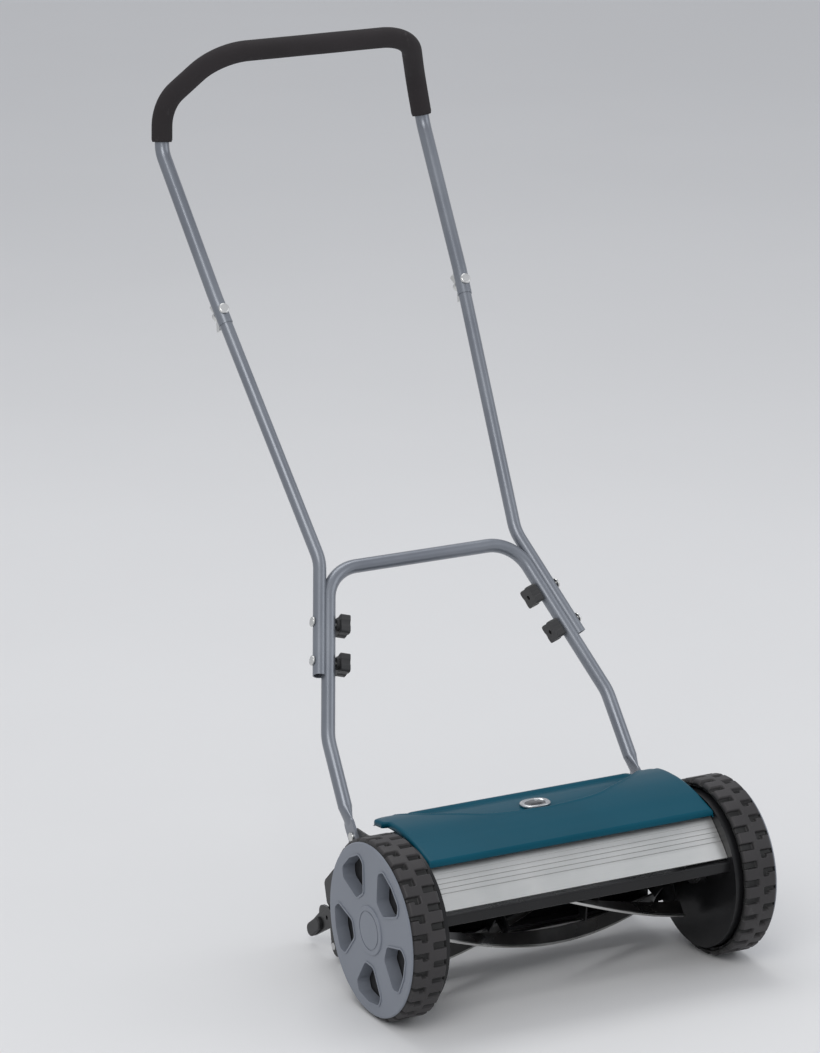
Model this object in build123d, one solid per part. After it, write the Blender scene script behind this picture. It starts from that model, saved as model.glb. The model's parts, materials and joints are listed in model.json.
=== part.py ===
from build123d import *
import math
import os

# Push reel mower. X runs along the wheel axles, the front faces -Y, +Z is up and the ground is Z = 0.
# The origin is on the ground, midway between the wheels and directly under their axis. Millimetres.
# Left parts (-X) are mirror images of the right ones (+X) unless a function says otherwise.

# ---- wheels ----
WHEEL_R = 120.0
TYRE_WIDTH = 48.0
TYRE_INNER_X = 223.0
TYRE_BED_R = 113.0
TREAD_DEPTH = 3.0
TREAD_COUNT = 30
DISC_R = 115.3
DISC_FACE_X = 273.5
LIP = 1.2
HUB_R = 17.0
AXLE_R = 8.0
RUNNING_GAP = 0.05
WINDOW_COUNT = 5
WINDOW_PHASE = 128.0

# ---- gears between each wheel and the reel ----
MODULE = 2.0
RING_TEETH = 60
PINION_TEETH = 13
GEAR_X = 231.0
GEAR_WIDTH = 11.0
BACKLASH = 0.5
PRESSURE_ANGLE = math.radians(20)
REEL_ANGLE = -16.0

# ---- reel ----
REEL_R = 70.0
REEL_HALF = 200.0
BLADE_COUNT = 5
BLADE_DEPTH = 22.0
BLADE_THICK = 3.4
BLADE_TWIST = 120.0
BLADE_PHASE = 241.4
SPIDER_X = (-192.0, -66.0, 66.0, 192.0)
SPIDER_THICK = 2.5
SHAFT_R = 8.0

# ---- chassis ----
PLATE_X = 214.0
PLATE_THICK = 3.0
DRUM_R = 107.5
DRUM_DEPTH = 15.0
LEG_BOLTS = ((152.3, 190.5), (129.0, 158.5))
ROLLER_PIVOT = (132.0, 88.0)
ROLLER_CENTRE = (200.0, 21.0)
ROLLER_R = 21.0
CLAMP_REACH = 56.0
CLAMP_ANGLE = 20.0
ROLLER_SWING = 14.0
HOOK_HOLE = (228.0, 52.0)
HOOK_HOLE_R = 3.0
ARM_THICK = 4.0

COVER_TAB_X = 221.0

# ---- handle ----
HANDLE_TILT = math.radians(54.0)
HANDLE_FOOT = (157.0, 197.0)
FRAME_TUBE_R = 9.5
SIDE_TUBE_R = 9.0
LOOP_TUBE_R = 10.0
TUBE_WALL = 1.3
GRIP_R = 14.5
LEG_X = 219.0
LEG_ROUND = 34.0
FOOT_FLAT = 8.0
KNEE = (214.0, 130.0)
FRAME_CORNER = (142.0, 362.0)
SADDLE_SHIFT = 13.0
SADDLE_ENDS = (214.0, 373.0)
LOOP_BOLT = (187.6, 752.0)
LOOP_KINK = (189.6, 775.0)
SLEEVE_END = 733.0
FRAME_BOLTS = (233.5, 287.0)
LOOP_BEND = (204.4, 745.6, 1004.1)
GRIP_OFFSET = 13.0
LOOP_SHOULDER = (197.9, 756.4, 1067.9)
LOOP_CORNER = (148.3, 679.7, 1146.3)

AXIS_Z = WHEEL_R
CENTRES = MODULE * (RING_TEETH - PINION_TEETH) / 2
REEL_Y = CENTRES * math.cos(math.radians(REEL_ANGLE))
REEL_Z = AXIS_Z + CENTRES * math.sin(math.radians(REEL_ANGLE))


# ---- helpers ----
def slab(sketch, x_start, x_end):
    """A sketch drawn in (Y, Z) and extruded along X from x_start to x_end."""
    return extrude(Plane.YZ.offset(x_start) * sketch, x_end - x_start)


def disc(radius, y, z):
    return Pos(y, z) * Circle(radius)


def bar(radius, y, z, x_start, x_end):
    """A round bar along X."""
    return slab(disc(radius, y, z), x_start, x_end)


def ring(outer, inner, y, z, x_start, x_end):
    return slab(disc(outer, y, z) - disc(inner, y, z), x_start, x_end)


def outline(*points):
    return make_face(Polyline(*points, close=True))


def mirrored(shape):
    return mirror(shape, about=Plane.YZ)


def handle_point(x, s, n=0.0):
    """The point x across the mower, s up the handle from its foot, and n behind the handle's plane."""
    c, t = math.cos(HANDLE_TILT), math.sin(HANDLE_TILT)
    return (x, HANDLE_FOOT[0] + s * c + n * t, HANDLE_FOOT[1] + s * t - n * c)


def bolt(centre, direction, radius, length, head_r, head_h, hexagon=False):
    """A bolt whose head sits at centre and whose shank runs along direction."""
    seat = Plane(origin=centre, z_dir=direction)
    head = RegularPolygon(head_r, 6) if hexagon else Circle(head_r)
    body = extrude(seat * Circle(radius), length) + extrude(seat * head, -head_h)
    if not hexagon:
        body = fillet(body.faces().sort_by(Axis(centre, direction))[0].edges(), head_h * 0.6)
    return body


def bent_tube(points, radii, outer, inner):
    """A hollow round tube through points, bent at each inner point."""
    path = FilletPolyline(*points, radius=radii) if radii else Line(*points)
    start = Plane(origin=path @ 0, z_dir=path % 0)
    return sweep(start * Circle(outer), path=path) - sweep(start * Circle(inner), path=path)


def gear_outline(teeth, root_r, tip_r, half_tooth):
    """An involute gear outline with its first tooth along +x; half_tooth is half a tooth's angle at the pitch circle."""
    pitch_r = MODULE * teeth / 2
    base_r = pitch_r * math.cos(PRESSURE_ANGLE)

    def involute(radius):
        angle = math.acos(min(1.0, base_r / radius))
        return math.tan(angle) - angle

    def half_angle(radius):
        return half_tooth + involute(pitch_r) - involute(max(radius, base_r))

    steps = 3
    radii = [root_r + (tip_r - root_r) * i / steps for i in range(steps + 1)]
    points = []
    for tooth in range(teeth):
        centre = 2 * math.pi * tooth / teeth
        rising = [(r, centre - half_angle(r)) for r in radii]
        falling = [(r, centre + half_angle(r)) for r in reversed(radii)]
        points += [(r * math.cos(a), r * math.sin(a)) for r, a in rising + falling]
    return outline(*points)


# ---- wheels ----
def make_tyre():
    """A solid tyre with two staggered rows of pockets that open at its sides."""
    x_end = TYRE_INNER_X + TYRE_WIDTH
    shoulder = 4.0
    profile = outline(
        (TYRE_INNER_X, TYRE_BED_R),
        (TYRE_INNER_X, WHEEL_R - shoulder),
        (TYRE_INNER_X + shoulder / 2, WHEEL_R),
        (x_end - shoulder / 2, WHEEL_R),
        (x_end, WHEEL_R - shoulder),
        (x_end, TYRE_BED_R),
    )
    tyre = Pos(0, 0, AXIS_Z) * revolve(Plane.XY * profile, Axis.X)
    pocket_length, pocket_width = 20.0, 12.0
    pocket = Box(pocket_length, pocket_width, 2 * TREAD_DEPTH)
    pockets = []
    for i in range(TREAD_COUNT):
        step = 360.0 / TREAD_COUNT
        for x, turn in ((x_end, i * step), (TYRE_INNER_X, (i + 0.5) * step)):
            inward = -1 if x == x_end else 1
            place = Pos(0, 0, AXIS_Z) * Rot(X=turn) * Pos(x + inward * 8.0, 0, WHEEL_R)
            pockets.append(place * pocket)
    return tyre.cut(*pockets)


def make_wheel_body():
    """The moulded wheel: rim, web, hub and the internal ring gear that drives the reel."""
    x_end = TYRE_INNER_X + TYRE_WIDTH
    web_x = 252.0
    rim = ring(TYRE_BED_R, 110.0, 0, AXIS_Z, TYRE_INNER_X + 2, x_end - 5)
    web = ring(111.0, AXLE_R + RUNNING_GAP, 0, AXIS_Z, web_x, web_x + 3.5)
    hub = ring(HUB_R, AXLE_R + RUNNING_GAP, 0, AXIS_Z, 226.0, 264.0)
    pitch_r = MODULE * RING_TEETH / 2
    half_space = math.pi / 2 / RING_TEETH + BACKLASH / 4 / pitch_r
    teeth = Rot(Z=REEL_ANGLE) * gear_outline(RING_TEETH, pitch_r - 0.6 * MODULE, pitch_r + 1.25 * MODULE, half_space)
    gear = slab(disc(68.0, 0, AXIS_Z) - Pos(0, AXIS_Z) * teeth, GEAR_X - 1, web_x + 1)
    ribs = []
    for i in range(WINDOW_COUNT):
        angle = WINDOW_PHASE + 36 + i * 360 / WINDOW_COUNT
        rib = Pos(0, AXIS_Z) * Rot(Z=angle) * Pos(89.5, 0) * Rectangle(43, 3)
        ribs.append(slab(rib, 240.0, web_x + 1))
    body = rim + web + hub + gear
    for rib in ribs:
        body += rib
    return body


def window_face(grow=0.0):
    """One rounded window of the wheel disc, drawn along +x from the wheel's centre."""
    face = outline((48, -11), (48, 11), (82, 33), (95, 27), (99, 0), (95, -27), (82, -33))
    face = fillet(face.vertices(), 8.5)
    return offset(face, grow) if grow else face


def around_wheel(face, turn):
    return Pos(0, AXIS_Z) * Rot(Z=turn) * face


def make_wheel_disc():
    """The outer disc: a domed plate with five deep windows and a rim that caps the tyre's edge."""
    back_x = DISC_FACE_X - 4.5
    pocket_x = DISC_FACE_X - 17.0
    plate = bar(DISC_R, 0, AXIS_Z, back_x, DISC_FACE_X)
    plate = chamfer(plate.faces().sort_by(Axis.X)[-1].edges(), 1.5)
    plate -= ring(DISC_R + 1, TYRE_BED_R - 0.2, 0, AXIS_Z, back_x - 1, TYRE_INNER_X + TYRE_WIDTH)
    centre = bar(40.0, 0, AXIS_Z, back_x - 3, back_x + 0.5)
    skirt = ring(109.0, 106.5, 0, AXIS_Z, 258.0, back_x + 0.5)
    body = plate + centre + skirt
    turns = [WINDOW_PHASE + i * 360 / WINDOW_COUNT for i in range(WINDOW_COUNT)]
    for turn in turns:
        body += slab(around_wheel(window_face(2.4), turn), pocket_x, DISC_FACE_X + LIP)
    for turn in turns:
        body -= slab(around_wheel(window_face(), turn), pocket_x - 1, DISC_FACE_X + LIP + 1)
    body -= bar(HUB_R + 1.0, 0, AXIS_Z, 240.0, DISC_FACE_X - 5.5)
    return body


def make_hub_cap():
    """The low round cap in the middle of the disc."""
    cap = bar(33.0, 0, AXIS_Z, DISC_FACE_X, DISC_FACE_X + 2.0)
    cap = fillet(cap.faces().sort_by(Axis.X)[-1].edges(), 1.6)
    return cap - ring(26.5, 24.5, 0, AXIS_Z, DISC_FACE_X + 1.2, DISC_FACE_X + 3)


def make_axle():
    """A stub axle riveted to the side plate, with a flange inside and a groove for the clip."""
    shank = bar(AXLE_R, 0, AXIS_Z, PLATE_X - 6, 267.0)
    flange = bar(20.0, 0, AXIS_Z, PLATE_X - 6, PLATE_X)
    groove = ring(AXLE_R + 1, AXLE_R - 1, 0, AXIS_Z, 264.6, 265.8)
    collar = bar(13.0, 0, AXIS_Z, PLATE_X + PLATE_THICK, 225.6)
    return shank + flange + collar - groove


def make_axle_clip():
    clip = disc(12.0, 0, AXIS_Z) - disc(AXLE_R - 0.9, 0, AXIS_Z) - Pos(0, AXIS_Z - 10) * Rectangle(9, 12)
    return slab(clip, 264.7, 265.7)


# ---- reel ----
def make_blade(index):
    """One twisted blade: a rectangular bar whose section turns about the shaft as it runs along X."""
    start = BLADE_PHASE - BLADE_TWIST / 2 + index * 360 / BLADE_COUNT
    middle = REEL_R - BLADE_DEPTH / 2
    section = Rot(Z=start) * Pos(middle, 0) * Rectangle(BLADE_DEPTH, BLADE_THICK)
    wire = (Plane.YZ.offset(-REEL_HALF) * Pos(REEL_Y, REEL_Z) * section).wire()
    return Solid.extrude_linear_with_rotation(
        wire, (-REEL_HALF, REEL_Y, REEL_Z), (2 * REEL_HALF, 0, 0), BLADE_TWIST
    )


def make_spider(x):
    """A pressed star that carries the blades on the shaft."""
    turn = BLADE_PHASE + BLADE_TWIST * x / (2 * REEL_HALF)
    arm_tip = REEL_R - BLADE_DEPTH - 0.4
    face = Circle(24.0)
    for i in range(BLADE_COUNT):
        arm = outline((0, -19), (arm_tip - 2, -7.5), (arm_tip, -7), (arm_tip, 7), (arm_tip - 2, 7.5), (0, 19))
        face += Rot(Z=turn + i * 360 / BLADE_COUNT) * arm
    face -= Circle(SHAFT_R)
    collar = Circle(13.0) - Circle(SHAFT_R)
    half = SPIDER_THICK / 2
    place = Pos(REEL_Y, REEL_Z)
    return slab(place * face, x - half, x + half) + slab(place * collar, x - 5, x + 5)


def make_reel_shaft():
    shaft = bar(SHAFT_R, REEL_Y, REEL_Z, -246.0, 246.0)
    groove = ring(SHAFT_R + 1, SHAFT_R - 1, REEL_Y, REEL_Z, 243.2, 244.4)
    return shaft - groove - mirrored(groove)


def make_pinion():
    """The small gear on the reel shaft, with a ratchet drum on its inner side."""
    pitch_r = MODULE * PINION_TEETH / 2
    half_tooth = math.pi / 2 / PINION_TEETH - BACKLASH / 4 / pitch_r
    teeth = gear_outline(PINION_TEETH, pitch_r - 1.25 * MODULE, pitch_r + 0.85 * MODULE, half_tooth)
    place = Pos(REEL_Y, REEL_Z) * Rot(Z=REEL_ANGLE)
    bore = disc(SHAFT_R + RUNNING_GAP, REEL_Y, REEL_Z)
    gear = slab(place * teeth - bore, GEAR_X, GEAR_X + GEAR_WIDTH)
    drum = slab(disc(11.0, REEL_Y, REEL_Z) - bore, GEAR_X - 7, GEAR_X)
    return gear + drum


def make_pinion_clip():
    clip = disc(11.0, REEL_Y, REEL_Z) - disc(SHAFT_R - 0.9, REEL_Y, REEL_Z)
    clip -= Pos(REEL_Y, REEL_Z - 10) * Rectangle(9, 12)
    return slab(clip, 243.3, 244.3)


def make_reel_bearing():
    """A flanged bush in the side plate."""
    bush = ring(14.0, SHAFT_R + RUNNING_GAP, REEL_Y, REEL_Z, 207.0, 222.0)
    flange = ring(18.0, SHAFT_R + RUNNING_GAP, REEL_Y, REEL_Z, PLATE_X - 4, PLATE_X)
    return bush + flange


# ---- chassis ----
def make_side_plate():
    """The pressed side plate: a round drum that shields the wheel gear, and an arm for the handle and roller."""
    arm = outline((40, 219), (118, 203), (150, 203), (163, 196), (176, 160), (240, 102), (243, 96), (236, 70),
                  (222, 64), (150, 62), (92, 42), (0, 90))
    face = disc(DRUM_R, 0, AXIS_Z) + fillet(arm.vertices(), 4.0)
    face -= disc(AXLE_R, 0, AXIS_Z)
    face -= disc(14.0, REEL_Y, REEL_Z)
    for y, z in LEG_BOLTS:
        face -= disc(3.1, y, z)
    face -= disc(5.0, *ROLLER_PIVOT)
    face -= disc(3.1, *clamp_centre())
    plate = slab(face, PLATE_X, PLATE_X + PLATE_THICK)
    wall = ring(DRUM_R, DRUM_R - 3, 0, AXIS_Z, PLATE_X, PLATE_X + DRUM_DEPTH)
    return plate + wall


def clamp_centre():
    turn = math.radians(CLAMP_ANGLE)
    return ROLLER_PIVOT[0] + CLAMP_REACH * math.cos(turn), ROLLER_PIVOT[1] + CLAMP_REACH * math.sin(turn)


def make_front_tie_bar():
    """A folded steel channel that joins the side plates under the deflector."""
    outer = outline((-91, 143), (-66, 143), (-66, 158), (-91, 158))
    outer = fillet(outer.vertices(), 2.5)
    inner = outline((-88.8, 145.2), (-60, 145.2), (-60, 155.8), (-88.8, 155.8))
    return slab(outer - inner, -PLATE_X, PLATE_X)


def make_rear_tie_rod():
    return bar(7.0, 150.0, 128.0, -PLATE_X, PLATE_X)


def make_deflector():
    """The ribbed aluminium panel above the reel's front, with a flange that runs back under the cover."""
    low, high = (-84.0, 160.5), (-40.0, 204.0)
    run = math.hypot(high[0] - low[0], high[1] - low[1])
    along = ((high[0] - low[0]) / run, (high[1] - low[1]) / run)
    out = (-along[1], along[0])

    def spot(t, lift):
        return (low[0] + t * along[0] + lift * out[0], low[1] + t * along[1] + lift * out[1])

    panel = outline(spot(0, 0), spot(0, 3), spot(20, 4.4), spot(42, 4.4), spot(run, 3), spot(run + 6, 0), spot(run, 0))
    panel += outline(high, (-42.2, 206.1), (-30, 213.5), (60, 224.5), (60, 222), (-29, 211))
    for t in (24, 31, 38, 45, 52):
        panel -= outline(spot(t, 3.4), spot(t - 1, 5.2), spot(t + 1, 5.2))
    return slab(panel, -PLATE_X + 0.5, PLATE_X - 0.5)


def cover_profile(drop=0.0, inset=0.0):
    """The cover's side view: a low front lip, a crest, and a long flat back edge."""
    top = Spline((-50 + inset, 218.5 - drop), (-3, 232.5 - drop), (34, 237.5 - drop), (99 - inset, 232.5 - drop))
    base = Polyline(top @ 1, (99 - inset, 223), (60, 228), (30, 228), (-3, 222.5), (-50 + inset, 209.5), top @ 0)
    return make_face(top + base)


def make_cover():
    """The moulded top cover, a shell with a skirt round its edge and a tab at its rear left corner."""
    half, wall = 212.6, 3.0
    skin = slab(cover_profile(), -half, half)
    lift = Pos(0, 0, -20)
    hollow = slab(cover_profile(wall, wall), -half + wall, half - wall)
    hollow += lift * hollow
    under = slab(outline((-47, 200), (-47, 212), (-3, 226), (30, 231), (60, 231), (96, 226), (96, 200)),
                 -half + wall, half - wall)
    tab_profile = cover_profile() & (Pos(66 + 30, 230) * Rectangle(60, 40))
    tab = slab(tab_profile, half - 1, COVER_TAB_X) - slab(outline((60, 200), (60, 231), (96, 226), (96, 200)),
                                                          half - wall, COVER_TAB_X - wall)
    return skin - hollow - under + mirrored(tab)


def make_badge():
    """A small blank oval plate on the cover."""
    seat = Plane(origin=(-5, 44, 238.3), x_dir=(1, 0, 0), z_dir=(0, 0, 1))
    plate = extrude(seat * Ellipse(21.5, 16.0), 3.0)
    return fillet(plate.faces().sort_by(Axis.Z)[-1].edges(), 1.5)


def knife_frame():
    """Where the knife's edge meets the reel, in (Y, Z), and how it leans."""
    turn = math.radians(-64.0)
    reach = REEL_R + 0.5
    return REEL_Y + reach * math.cos(turn), REEL_Z + reach * math.sin(turn)


def make_bed_knife():
    y, z = knife_frame()
    blade = outline((y, z), (y + 46, z - 6), (y + 46, z - 9.2), (y + 4, z - 4.2))
    return slab(blade, -205.0, 205.0)


def make_knife_carrier():
    """The stiff angle that holds the knife and joins the side plates."""
    y, z = knife_frame()
    section = outline((y + 14, z - 1.6), (y + 42, z - 5.2), (y + 46, z - 5.2), (y + 46, z + 66), (y + 42, z + 66),
                      (y + 42, z - 1.6), (y + 16, z + 2.4))
    return slab(section, -PLATE_X, PLATE_X)


def make_tie_screws():
    """Hexagon screws that hold the tie bars to the side plates."""
    screws = []
    for y, z in ((-78.0, 150.5), (150.0, 128.0)):
        seat = Plane(origin=(PLATE_X + PLATE_THICK, y, z), z_dir=(1, 0, 0))
        screws.append(extrude(seat * RegularPolygon(6.5, 6), 4.0))
    both = [s for one in screws for s in (one, mirrored(one))]
    return Compound(both)


def roller_arm_face():
    """The height arm: a pivot boss, a curved slot, the roller's bearing, a hook hole and a thumb lobe."""
    face = make_hull((disc(15, *ROLLER_PIVOT) + disc(15, *ROLLER_CENTRE)).edges())
    face += make_hull((disc(16, *clamp_centre()) + disc(15, 206, 60) + disc(14, *ROLLER_PIVOT)).edges())
    face += make_hull((disc(15, 205, 55) + disc(12, 239, 54)).edges())
    face += make_hull((disc(14, 234, 48) + disc(9.5, 271, 21.5)).edges())
    face += make_hull((disc(15, *ROLLER_CENTRE) + disc(15, 205, 55)).edges())
    face -= disc(5.0 + RUNNING_GAP, *ROLLER_PIVOT)
    face -= disc(5.0, *ROLLER_CENTRE)
    face -= disc(HOOK_HOLE_R, *HOOK_HOLE)
    for i in range(3):
        notch_turn = math.radians(34 + 13 * i)
        face -= disc(2.6, 206 + 15.6 * math.cos(notch_turn), 60 + 15.6 * math.sin(notch_turn))
    reach, steps = CLAMP_REACH, 8
    for i in range(steps + 1):
        turn = math.radians(CLAMP_ANGLE + 1 - (ROLLER_SWING + 2) * i / steps)
        face -= disc(3.6, ROLLER_PIVOT[0] + reach * math.cos(turn), ROLLER_PIVOT[1] + reach * math.sin(turn))
    return face


def make_roller_arm():
    gap = 0.3
    x_start = PLATE_X + PLATE_THICK + gap
    return slab(roller_arm_face(), x_start, x_start + ARM_THICK)


def make_lever_pad():
    """The moulded thumb pad over the arm's lobe."""
    pad = make_hull((disc(9.0, 252, 35.5) + disc(9.5, 271, 21.5)).edges())
    body = slab(pad, PLATE_X + PLATE_THICK + 0.3 + ARM_THICK, PLATE_X + PLATE_THICK + ARM_THICK + 5)
    return fillet(body.faces().sort_by(Axis.X)[-1].edges(), 2.0)


def make_roller_rod():
    """The rod that joins the two arms and carries the roller."""
    return bar(5.0, *ROLLER_CENTRE, -PLATE_X - 12.0, PLATE_X + 12.0)


def make_roller():
    """Three moulded drums side by side on the rod."""
    drums = []
    for x in (-137.0, 0.0, 137.0):
        drum = ring(ROLLER_R, 5.0 + RUNNING_GAP, *ROLLER_CENTRE, x - 66.0, x + 66.0)
        drums.append(chamfer(drum.edges().filter_by(GeomType.CIRCLE).group_by(SortBy.RADIUS)[-1], 2.0))
    return drums


def make_pivot_bolt():
    x_start = PLATE_X - 5
    seat = Plane(origin=(x_start, *ROLLER_PIVOT), z_dir=(1, 0, 0))
    reach = 5 + PLATE_THICK + ARM_THICK + 1.0
    shank = extrude(seat * Circle(5.0), reach)
    dome = extrude(seat.offset(reach) * Circle(8.5), 3.5)
    dome = fillet(dome.faces().sort_by(Axis.X)[-1].edges(), 2.4)
    return shank + extrude(seat * RegularPolygon(8.5, 6), 5.0) + dome


def make_clamp_bolt():
    """The bolt in the arm's slot, with its washer and nut outside."""
    y, z = clamp_centre()
    seat = Plane(origin=(PLATE_X - 4, y, z), z_dir=(1, 0, 0))
    outside = Plane(origin=(PLATE_X + PLATE_THICK + ARM_THICK + 0.6, y, z), z_dir=(1, 0, 0))
    shank = extrude(seat * Circle(3.0), 4 + PLATE_THICK + ARM_THICK + 7)
    head = extrude(seat * RegularPolygon(6, 6), 4.0)
    washer = extrude(outside * Circle(8), 1.2)
    nut = extrude(outside.offset(1.2) * RegularPolygon(6, 6), 4.5)
    return shank + head + washer + nut


# ---- handle ----
def leg_direction():
    dx, ds = FRAME_CORNER[0] - KNEE[0], FRAME_CORNER[1] - KNEE[1]
    length = math.hypot(dx, ds)
    return dx / length, ds / length


def leg_x(s):
    """Where the leg's axis is, s up the handle."""
    dx, ds = leg_direction()
    return KNEE[0] + (s - KNEE[1]) * dx / ds


def outward(x_side=1):
    """The unit direction across the leg, in the handle's plane, pointing out from the mower's middle."""
    dx, ds = leg_direction()
    far = handle_point(ds * x_side, -dx)
    near = handle_point(0, 0)
    return tuple(f - n for f, n in zip(far, near))


def leg_start():
    """Where the leg's round tube ends and its flattened foot begins."""
    slope = (KNEE[0] - LEG_X) / (KNEE[1] - 14)
    return handle_point(LEG_X + (LEG_ROUND - 14) * slope, LEG_ROUND)


def frame_points():
    right = [leg_start(), handle_point(*KNEE), handle_point(*FRAME_CORNER)]
    return right + [(-x, y, z) for x, y, z in reversed(right)]


def make_leg_foot():
    """The leg's flattened end, bolted flat on the side plate."""
    x_face = PLATE_X + PLATE_THICK
    thick, half_wide = 4.0, 12.5
    start = Vector(*leg_start())
    run = (Vector(*handle_point(*KNEE)) - start).normalized()
    across = (Vector(1, 0, 0) - run * run.X).normalized()
    round_end = Plane(origin=start, x_dir=across, z_dir=run) * Circle(FRAME_TUBE_R)
    flat_at = handle_point(x_face + thick / 2, FOOT_FLAT)
    down = (0, math.cos(HANDLE_TILT), math.sin(HANDLE_TILT))
    flat_end = Plane(origin=flat_at, x_dir=(1, 0, 0), z_dir=down) * Ellipse(thick / 2, half_wide)
    taper = loft([round_end, flat_end])
    low = handle_point(0, -48)
    tab = make_hull((disc(half_wide, flat_at[1], flat_at[2]) + disc(half_wide, low[1], low[2])).edges())
    foot = taper + slab(tab, x_face, x_face + thick)
    for y, z in LEG_BOLTS:
        foot -= bar(3.1, y, z, x_face - 1, x_face + thick + 1)
    return foot


def make_lower_frame():
    """The lower handle frame: one tube bent into two legs and a crossbar, its ends flattened."""
    tube = bent_tube(frame_points(), [70.0, 55.0, 55.0, 70.0], FRAME_TUBE_R, FRAME_TUBE_R - TUBE_WALL)
    foot = make_leg_foot()
    frame = tube + foot + mirrored(foot)
    for s in FRAME_BOLTS:
        for side in (1, -1):
            axis = outward(side)
            centre = handle_point(side * leg_x(s), s)
            hole = Plane(origin=tuple(p - 15 * a for p, a in zip(centre, axis)), z_dir=axis)
            frame -= extrude(hole * Circle(3.1), 30)
    return frame


def side_tube_points():
    dx, ds = leg_direction()
    shift_x, shift_s = SADDLE_SHIFT * ds, -SADDLE_SHIFT * dx
    ends = [(leg_x(s) + shift_x, s + shift_s) for s in SADDLE_ENDS]
    top_s = LOOP_KINK[1] - 4
    return [handle_point(*ends[0]), handle_point(*ends[1]), handle_point(loop_x(top_s), top_s)]


def loop_x(s):
    dx, ds = leg_direction()
    bend = (leg_x(SADDLE_ENDS[1]) + SADDLE_SHIFT * ds, SADDLE_ENDS[1] - SADDLE_SHIFT * dx)
    return bend[0] + (LOOP_BOLT[0] - bend[0]) * (s - bend[1]) / (LOOP_BOLT[1] - bend[1])


def loop_bolt_plane(back):
    c, t = math.cos(HANDLE_TILT), math.sin(HANDLE_TILT)
    centre = handle_point(loop_x(LOOP_BOLT[1]), LOOP_BOLT[1], back)
    return Plane(origin=centre, z_dir=(0, t, -c))


def make_side_tube():
    """A side tube: its lower end is a saddle that wraps the leg, its upper end goes up inside the loop."""
    tube = bent_tube(side_tube_points(), [60.0], SIDE_TUBE_R, SIDE_TUBE_R - TUBE_WALL)
    tube -= sweep_frame(FRAME_TUBE_R + 0.1)
    for s in FRAME_BOLTS:
        axis = outward()
        hole = Plane(origin=handle_point(leg_x(s), s), z_dir=axis)
        tube -= extrude(hole * Circle(3.1), 40)
    tube -= extrude(loop_bolt_plane(-20) * Circle(3.1), 40)
    return tube.solids().sort_by(SortBy.VOLUME)[-1]


def sweep_frame(radius):
    """The lower frame's envelope at a given radius, used to clear the parts beside it."""
    path = FilletPolyline(*frame_points(), radius=[70.0, 55.0, 55.0, 70.0])
    return sweep(Plane(origin=path @ 0, z_dir=path % 0) * Circle(radius), path=path)


def loop_points():
    sleeve = handle_point(loop_x(SLEEVE_END), SLEEVE_END)
    kink_s = LOOP_KINK[1]
    right = [sleeve, handle_point(loop_x(kink_s), kink_s), LOOP_BEND, LOOP_SHOULDER, LOOP_CORNER]
    return right + [(-x, y, z) for x, y, z in reversed(right)]


LOOP_RADII = [250.0, 45.0, 60.0, 70.0]


def make_handle_loop():
    """The top loop: one tube whose ends slip over the side tubes."""
    radii = LOOP_RADII + LOOP_RADII[::-1]
    loop = bent_tube(loop_points(), radii, LOOP_TUBE_R, LOOP_TUBE_R - 0.9)
    hole = extrude(loop_bolt_plane(-20) * Circle(3.1), 40)
    return loop - hole - mirrored(hole)


def make_grip():
    """The foam sleeve over the loop's crossbar and shoulders."""
    bend = Vector(*LOOP_BEND)
    start = bend + (Vector(*LOOP_SHOULDER) - bend).normalized() * GRIP_OFFSET
    right = [tuple(start), LOOP_SHOULDER, LOOP_CORNER]
    points = right + [(-x, y, z) for x, y, z in reversed(right)]
    radii = LOOP_RADII[2:]
    return bent_tube(points, radii + radii[::-1], GRIP_R, LOOP_TUBE_R + 0.02)


def make_frame_bolts():
    """Carriage bolts that clamp the side tubes to the legs."""
    bolts = []
    for side in (1, -1):
        axis = outward(side)
        for s in FRAME_BOLTS:
            base = handle_point(side * leg_x(s), s)
            reach = SADDLE_SHIFT + SIDE_TUBE_R + 0.4
            head = tuple(p + reach * a for p, a in zip(base, axis))
            bolts.append(bolt(head, tuple(-a for a in axis), 3.0, reach + 23.0, 7.0, 3.0))
    return bolts


def knob_face(radius):
    """A four-lobed hand knob's outline."""
    face = Rectangle(2 * radius * 0.80, 2 * radius * 0.80)
    face = fillet(face.vertices(), radius * 0.22)
    for i in range(4):
        face -= Rot(Z=90 * i) * Pos(radius * 1.38, 0) * Circle(radius * 0.64)
    return face


def make_frame_knob(side, s):
    """A hand knob on the inner side of a leg."""
    axis = outward(side)
    base = handle_point(side * leg_x(s), s)
    start = FRAME_TUBE_R + 0.4
    seat = Plane(origin=tuple(p - start * a for p, a in zip(base, axis)), x_dir=(0, math.cos(HANDLE_TILT), math.sin(HANDLE_TILT)),
                 z_dir=tuple(-a for a in axis))
    head = extrude(seat.offset(4.0) * knob_face(16.5), 13.0)
    collar = extrude(seat * Circle(8.0), 5.0)
    return head + collar - extrude(seat.offset(-1.0) * Circle(3.0 + RUNNING_GAP), 30.0)


def make_loop_bolt():
    seat = loop_bolt_plane(-LOOP_TUBE_R - 0.6)
    axis = tuple(seat.z_dir)
    return bolt(tuple(seat.origin), axis, 3.0, 2 * LOOP_TUBE_R + 13.0, 7.5, 3.4)


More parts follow.
